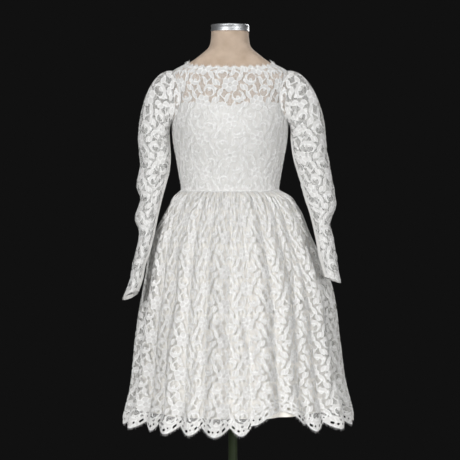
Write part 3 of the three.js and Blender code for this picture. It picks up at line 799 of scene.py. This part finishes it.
# Skirt
SLOT = {"above": 9, "tall": 6, "pitch": 14, "bar": 2.4}
SLOT_WANDER = {"turn": 2.4, "start": 0.6, "aside": 1.2, "narrow": 1.5, "rise": 2, "slant": 0.25}
BORDER_TOP = 22           # the close-worked border's height above the scallops
BORDER_LINE = {"above": 30, "half": 2.4}
SKIRT_LACE_OUT = 0.3
SKIRT_NET_OUT = -0.2
NET_LAP = 2               # the net reaches this far into the border


def skirt_cloth(angle, z):
    return (angle + 90) * FLAT_PER_DEGREE, (z - LACE_HEM) * SKIRT_SLANT


def skirt_bounds(angle, z):
    return np.minimum(z - lace_hem(angle), WAIST + 1 - z)


def border_slot(angle, z):
    """Depth inside the open slots that run along the scalloped border."""
    above = z - lace_hem(angle)
    across = skirt_cloth(angle, z)[0]
    uneven = np.sin(np.floor(across / SLOT["pitch"]) * SLOT_WANDER["turn"] + SLOT_WANDER["start"])
    along = across % SLOT["pitch"] - SLOT["pitch"] / 2 + SLOT_WANDER["aside"] * uneven
    narrow = SLOT_WANDER["narrow"] * (1 + uneven)
    beside = SLOT["pitch"] / 2 - SLOT["bar"] - narrow - np.abs(along)
    middle = SLOT["above"] + SLOT["tall"] / 2 + SLOT_WANDER["rise"] * uneven + SLOT_WANDER["slant"] * along
    return np.minimum(beside, (SLOT["tall"] - uneven) / 2 - np.abs(above - middle))


def skirt_lace_field(angle, z):
    depth = lace_chart(*skirt_cloth(angle, z))[0]
    above = z - lace_hem(angle)
    border = np.maximum(BORDER_TOP - above, BORDER_LINE["half"] - np.abs(above - BORDER_LINE["above"]))
    depth = np.minimum(np.maximum(depth, border), -border_slot(angle, z))
    depth = np.maximum(depth, SEAM_WORK["waist"] - (WAIST - z))
    return np.minimum(depth, skirt_bounds(angle, z))


def skirt_lace_place(angle, z):
    return skirt_point(angle, z, SKIRT_LACE_OUT + relief(*skirt_cloth(angle, z)))


def skirt_panel(name, node, low, high):
    def grid(cell):
        return steps(low, high, cell / FLAT_PER_DEGREE), steps(LACE_HEM - SCALLOP_DROP, WAIST, cell)
    net = cut_sheet(f"{name}_net", *grid(NET_CELL),
                    lambda a, z: np.minimum(skirt_bounds(a, z), z - lace_hem(a) - BORDER_TOP + NET_LAP),
                    lambda a, z: skirt_point(a, z, SKIRT_NET_OUT), skirt_cloth)
    lace = cut_sheet(f"{name}_lace", *grid(LACE_CELL), skirt_lace_field, skirt_lace_place, skirt_cloth, True)
    finished(net, NET, node)
    finished(lace, LACE)
    return net, lace


def skirt_lining(name, node, low, high):
    piece = cut_sheet(name, steps(low, high, LINING_STEPS["skirt"]), steps(LINING_HEM, WAIST, NET_CELL),
                      lambda a, z: np.ones(np.shape(a)),
                      lambda a, z: skirt_point(a, z, UNDERSKIRT["out"], UNDERSKIRT["folds"], True),
                      skirt_cloth)
    # This finish carries painted light that offsets the shade of the lace over it.
    return finished(piece, UNDERSKIRT_TAFFETA_PAINTED_LIGHTER, node)


# Sleeves
SLEEVE_TURNS = {"outer": (-12.86, 192.86), "under": (192.86, 347.14)}
SLEEVE_MIDDLE = 60        # the turn about which the sleeve is laid flat
SLEEVE_NET_OUT = -0.4
SLEEVE_NET_CELL = 4.2
CUFF_SCALLOP = {"pitch": 22, "rise": 4}


def sleeve_cloth(name, turn, place):
    """Flat coordinates of the sleeve, whose cut narrows to the cuff."""
    table = SLEEVE_TABLES[name]
    row = smooth_rows(table[::-1], table[0, 0] + (table[-1, 0] - table[0, 0]) * np.clip(place - 1, 0, 1))
    radius = (row[..., 2] + row[..., 3]) / 2
    return np.radians(turn - SLEEVE_MIDDLE) * radius, -sleeve_down(table, place)


def sleeve_lace_field(name, turn, place):
    s, t = sleeve_cloth(name, turn, place)
    end = sleeve_down(SLEEVE_TABLES[name], np.array(2.0))
    above = t + end
    scallop = CUFF_SCALLOP["rise"] * np.abs(np.sin(np.pi * s / CUFF_SCALLOP["pitch"]))
    seam = np.maximum(SEAM_WORK["cuff"] - above, SEAM_WORK["sleeve"] + t)
    depth = np.maximum(lace_chart(s, t)[0], seam)
    return np.minimum(depth, above - CUFF_SCALLOP["rise"] + scallop)


def sleeve_lace_place(name, turn, place):
    return sleeve_point(name, turn, place, relief(*sleeve_cloth(name, turn, place)))


def sleeve_piece(name, cut):
    low, high = SLEEVE_TURNS[cut]
    table = SLEEVE_TABLES[name]

    def grid(cell):
        length = float(sleeve_down(table, np.array(2.0)))
        head = np.linspace(0, 1, int(HEAD_LENGTH / cell))[:-1]
        arm = np.linspace(1, 2, int((length - HEAD_LENGTH) / cell))
        return steps(low, high, cell / SLEEVE_PER_DEGREE), np.concatenate([head, arm])

    def cloth(turn, place):
        return sleeve_cloth(name, turn, place)
    node = f"sleeve_{name}_{cut}"
    net = cut_sheet(f"{node}_net", *grid(SLEEVE_NET_CELL), lambda t, p: np.ones(np.shape(t)),
                    lambda t, p: sleeve_point(name, t, p, SLEEVE_NET_OUT), cloth)
    lace = cut_sheet(f"{node}_lace", *grid(LACE_CELL), lambda t, p: sleeve_lace_field(name, t, p),
                     lambda t, p: sleeve_lace_place(name, t, p), cloth, True)
    finished(net, NET, node)
    finished(lace, LACE)
    return net, lace


# Eyelash threads along the lace's free edges
LASH = {"shortest": 0.65, "longest": 1.15, "stray": 0.18, "bend": 0.6, "taper": 0.35, "root": 0.8}
HEM_LASHES = {"pitch": 3.0, "long": 8, "out": 0.4}
NECK_LASHES = {"pitch": 2.6, "long": 6.5}
DOWN = np.array([0, 0, -1.0])


def eyelashes(name, roots, lean, length, width=0.7):
    """Short tapering threads from points on an edge, along given directions, each a little different."""
    count = len(roots)
    size = length * rng.uniform(LASH["shortest"], LASH["longest"], count)[:, None]
    way = lean + rng.normal(0, LASH["stray"], (count, 3))
    way /= np.linalg.norm(way, axis=1)[:, None]
    edge = np.roll(roots, -1, 0) - np.roll(roots, 1, 0)
    edge /= np.maximum(np.linalg.norm(edge, axis=1), 1e-6)[:, None]
    bend = roots + way * size * LASH["bend"]
    corners = [roots - edge * width / 2, roots + edge * width / 2,
               bend + edge * width * LASH["taper"], bend - edge * width * LASH["taper"], roots + way * size]
    points = np.stack(corners, 1).reshape(-1, 3)
    first = np.arange(count) * 5
    faces = np.stack([first, first + 1, first + 2, first + 3], -1).tolist()
    faces += np.stack([first + 3, first + 2, first + 4], -1).tolist()
    cloth = (points[:, 0], points[:, 2])
    return finished(mesh_object(name, points, faces, cloth), LACE)


def all_eyelashes():
    """Threads under the hem and above the neckline, by the panel that they hang from."""
    made = {}
    for panel, low, high in (("front", -89.5, 89.5), ("back", 90.5, 269.5)):
        angle = steps(low, high, HEM_LASHES["pitch"] / FLAT_PER_DEGREE)
        roots = skirt_point(angle, lace_hem(angle) + LASH["root"], HEM_LASHES["out"])
        made[f"skirt_{panel}"] = eyelashes(f"hem_lashes_{panel}", roots, DOWN, HEM_LASHES["long"])
    for panel, low, high in (("front", -89, 89), ("back_right", 91, 179.6), ("back_left", 180.4, 269)):
        angle = steps(low, high, NECK_LASHES["pitch"] / BODICE_ACROSS)
        roots = bodice_place(angle, neck_edge(angle) - LASH["root"], LACE_OUT)
        made[f"bodice_{panel}"] = eyelashes(f"neck_lashes_{panel}", roots, -DOWN, NECK_LASHES["long"])
    return made


# Plain strips: the sleeve's inner seam, the cuff's facing and the closing of the back
SEAM_STRIP = {"turn": 276, "wide": 16, "widens": 26, "out": 1.3, "crown": 0.6, "from": 0.75, "to": 1.995}
CUFF_FACING = {"from": 1.975, "to": 1.997, "out": -1.3}
CLOSING = {"half_angle": 3.4, "out": 1.0, "crown": 0.5}
STITCH = {"above": 14, "out": -4.1, "pitch": 0.75, "long": 0.42, "half": 0.6}


def seam_strip(name):
    """The turned seam on the inner side of a sleeve, wider towards the cuff."""
    def place(u, p):
        width = SEAM_STRIP["wide"] + SEAM_STRIP["widens"] * np.clip(p - 1, 0, 1)
        out = SEAM_STRIP["out"] - SEAM_STRIP["crown"] * (2 * u - 1) ** 2
        return sleeve_point(name, SEAM_STRIP["turn"] + u * width, p, out)
    along = np.linspace(SEAM_STRIP["from"], SEAM_STRIP["to"], 130)
    piece = cut_sheet(f"sleeve_{name}_seam_strip", np.linspace(0, 1, 7), along,
                      lambda u, p: np.ones(np.shape(u)), place, lambda u, p: (u * 14, p * 400))
    return finished(piece, BODICE_LINING)


def cuff_facing(name):
    """The plain facing inside the end of a sleeve."""
    along = np.linspace(CUFF_FACING["from"], CUFF_FACING["to"], 5)
    piece = cut_sheet(f"sleeve_{name}_cuff_facing", np.linspace(0, 360, 73), along,
                      lambda t, p: np.ones(np.shape(t)),
                      lambda t, p: sleeve_point(name, t, p, CUFF_FACING["out"]),
                      lambda t, p: (t * 0.5, p * 400))
    return finished(piece, BODICE_LINING)


def closing_strip():
    """The lapped edge that closes the back, from the waist to the neckline."""
    def place(u, z):
        out = LACE_OUT + CLOSING["out"] - CLOSING["crown"] * u ** 2
        return bodice_place(180 + CLOSING["half_angle"] * u, z, out)
    piece = cut_sheet("bodice_back_closing", np.linspace(-1, 1, 7), steps(WAIST + 1, NECK["back"] - 1, 5),
                      lambda u, z: np.ones(np.shape(u)), place, lambda u, z: (u * 7, z - WAIST))
    return finished(piece, BODICE_LINING)


def hem_stitches(name, low, high):
    """The stitched line that holds up the underskirt's hem."""
    angle = steps(low + 0.5, high - 0.5, STITCH["pitch"])
    level = 0 * angle + LINING_HEM + STITCH["above"]
    start = skirt_point(angle, level, STITCH["out"], UNDERSKIRT["folds"], True)
    end = skirt_point(angle + STITCH["long"], level, STITCH["out"], UNDERSKIRT["folds"], True)
    up = np.array([0, 0, STITCH["half"]])
    points = np.stack([start - up, end - up, end + up, start + up], 1).reshape(-1, 3)
    first = np.arange(len(angle)) * 4
    faces = np.stack([first, first + 1, first + 2, first + 3], -1).tolist()
    return finished(mesh_object(name, points, faces, (points[:, 0], points[:, 2])), LACE)


linings = {
    "bodice_lining_front": bodice_lining("underbodice_front", "bodice_lining_front", 0),
    "bodice_lining_back": bodice_lining("underbodice_back", "bodice_lining_back", 180),
    "skirt_lining_front": skirt_lining("underskirt_front", "skirt_lining_front", -90, 90),
    "skirt_lining_back": skirt_lining("underskirt_back", "skirt_lining_back", 90, 270),
}
panels = {
    "bodice_front": bodice_panel("bodice_front", "bodice_lace_front", -90, 90),
    "bodice_back_right": bodice_panel("bodice_back_right", "bodice_lace_back_right", 90, 179.7),
    "bodice_back_left": bodice_panel("bodice_back_left", "bodice_lace_back_left", 180.3, 270),
    "skirt_front": skirt_panel("skirt_front", "skirt_lace_front", -90, 90),
    "skirt_back": skirt_panel("skirt_back", "skirt_lace_back", 90, 270),
}
for sleeve_name in SLEEVE_TABLES:
    for sleeve_cut in SLEEVE_TURNS:
        panels[f"sleeve_{sleeve_name}_{sleeve_cut}"] = sleeve_piece(sleeve_name, sleeve_cut)
sewn_on = {key: [piece] for key, piece in all_eyelashes().items()}
for sleeve_name in SLEEVE_TABLES:
    sewn_on[f"sleeve_{sleeve_name}_under"] = [seam_strip(sleeve_name), cuff_facing(sleeve_name)]
sewn_on["bodice_back_left"].append(closing_strip())
sewn_on["skirt_lining_front"] = [hem_stitches("underskirt_stitches_front", -90, 90)]
sewn_on["skirt_lining_back"] = [hem_stitches("underskirt_stitches_back", 90, 270)]


# Floor, light and camera
FLOOR = {"radius": 1250, "sides": 96, "drop": 0.5}
BACKGROUND_GREY = 0.0056
LIGHT_AIM = (0, 0, 0.95)
LIGHTS = [
    # name, place and size in metres, power in watts
    ("key", (-2.8, -5.0, 2.3), (2.2, 2.2), 285),
    ("fill", (3.6, -4.4, 1.2), (2.4, 2.4), 178),
    ("top", (0, -0.3, 4.6), (2.4, 2.4), 26),
    ("back", (1.4, 3.6, 2.3), (2.2, 2.2), 120),
]


def floor_disc():
    angle = np.linspace(0, 2 * np.pi, FLOOR["sides"], endpoint=False)
    points = np.stack([FLOOR["radius"] * np.cos(angle), FLOOR["radius"] * np.sin(angle),
                       0 * angle - FLOOR["drop"]], -1)
    piece = mesh_object("floor", points, [list(range(FLOOR["sides"]))])
    f = Finish("floor_paper", 0.9)
    f.colour(f.noise(3, 2, False), (206, 206, 204), (212, 212, 210))
    piece.data.materials.append(f.material)


def soft_light(name, place, size, power):
    light = bpy.data.lights.new(name, "AREA")
    light.shape = "RECTANGLE"
    light.size, light.size_y = size
    light.energy = power
    lamp = bpy.data.objects.new(name, light)
    lamp.location = place
    lamp.rotation_euler = (Vector(LIGHT_AIM) - Vector(place)).to_track_quat("-Z", "Y").to_euler()
    bpy.context.scene.collection.objects.link(lamp)


def studio():
    world = bpy.data.worlds.new("studio")
    world.use_nodes = True
    background = world.node_tree.nodes["Background"]
    background.inputs["Color"].default_value = (BACKGROUND_GREY,) * 3 + (1,)
    bpy.context.scene.world = world
    for row in LIGHTS:
        soft_light(*row)
    bpy.context.scene.view_settings.view_transform = "Standard"


def photo_camera():
    data = bpy.data.cameras.new("photo_view")
    place = Vector((FORM_SHIFT * MM, -CAMERA_BACK * MM, CAMERA_HEIGHT * MM))
    aim = Vector(AIM) * MM
    data.sensor_width = 36
    data.lens = data.sensor_width / 2 * (aim - place).length / (HALF_PICTURE * MM)
    camera = bpy.data.objects.new("photo_view", data)
    camera.location = place
    camera.rotation_euler = (aim - place).to_track_quat("-Z", "Y").to_euler()
    bpy.context.scene.collection.objects.link(camera)
    bpy.context.scene.camera = camera


floor_disc()
studio()
photo_camera()
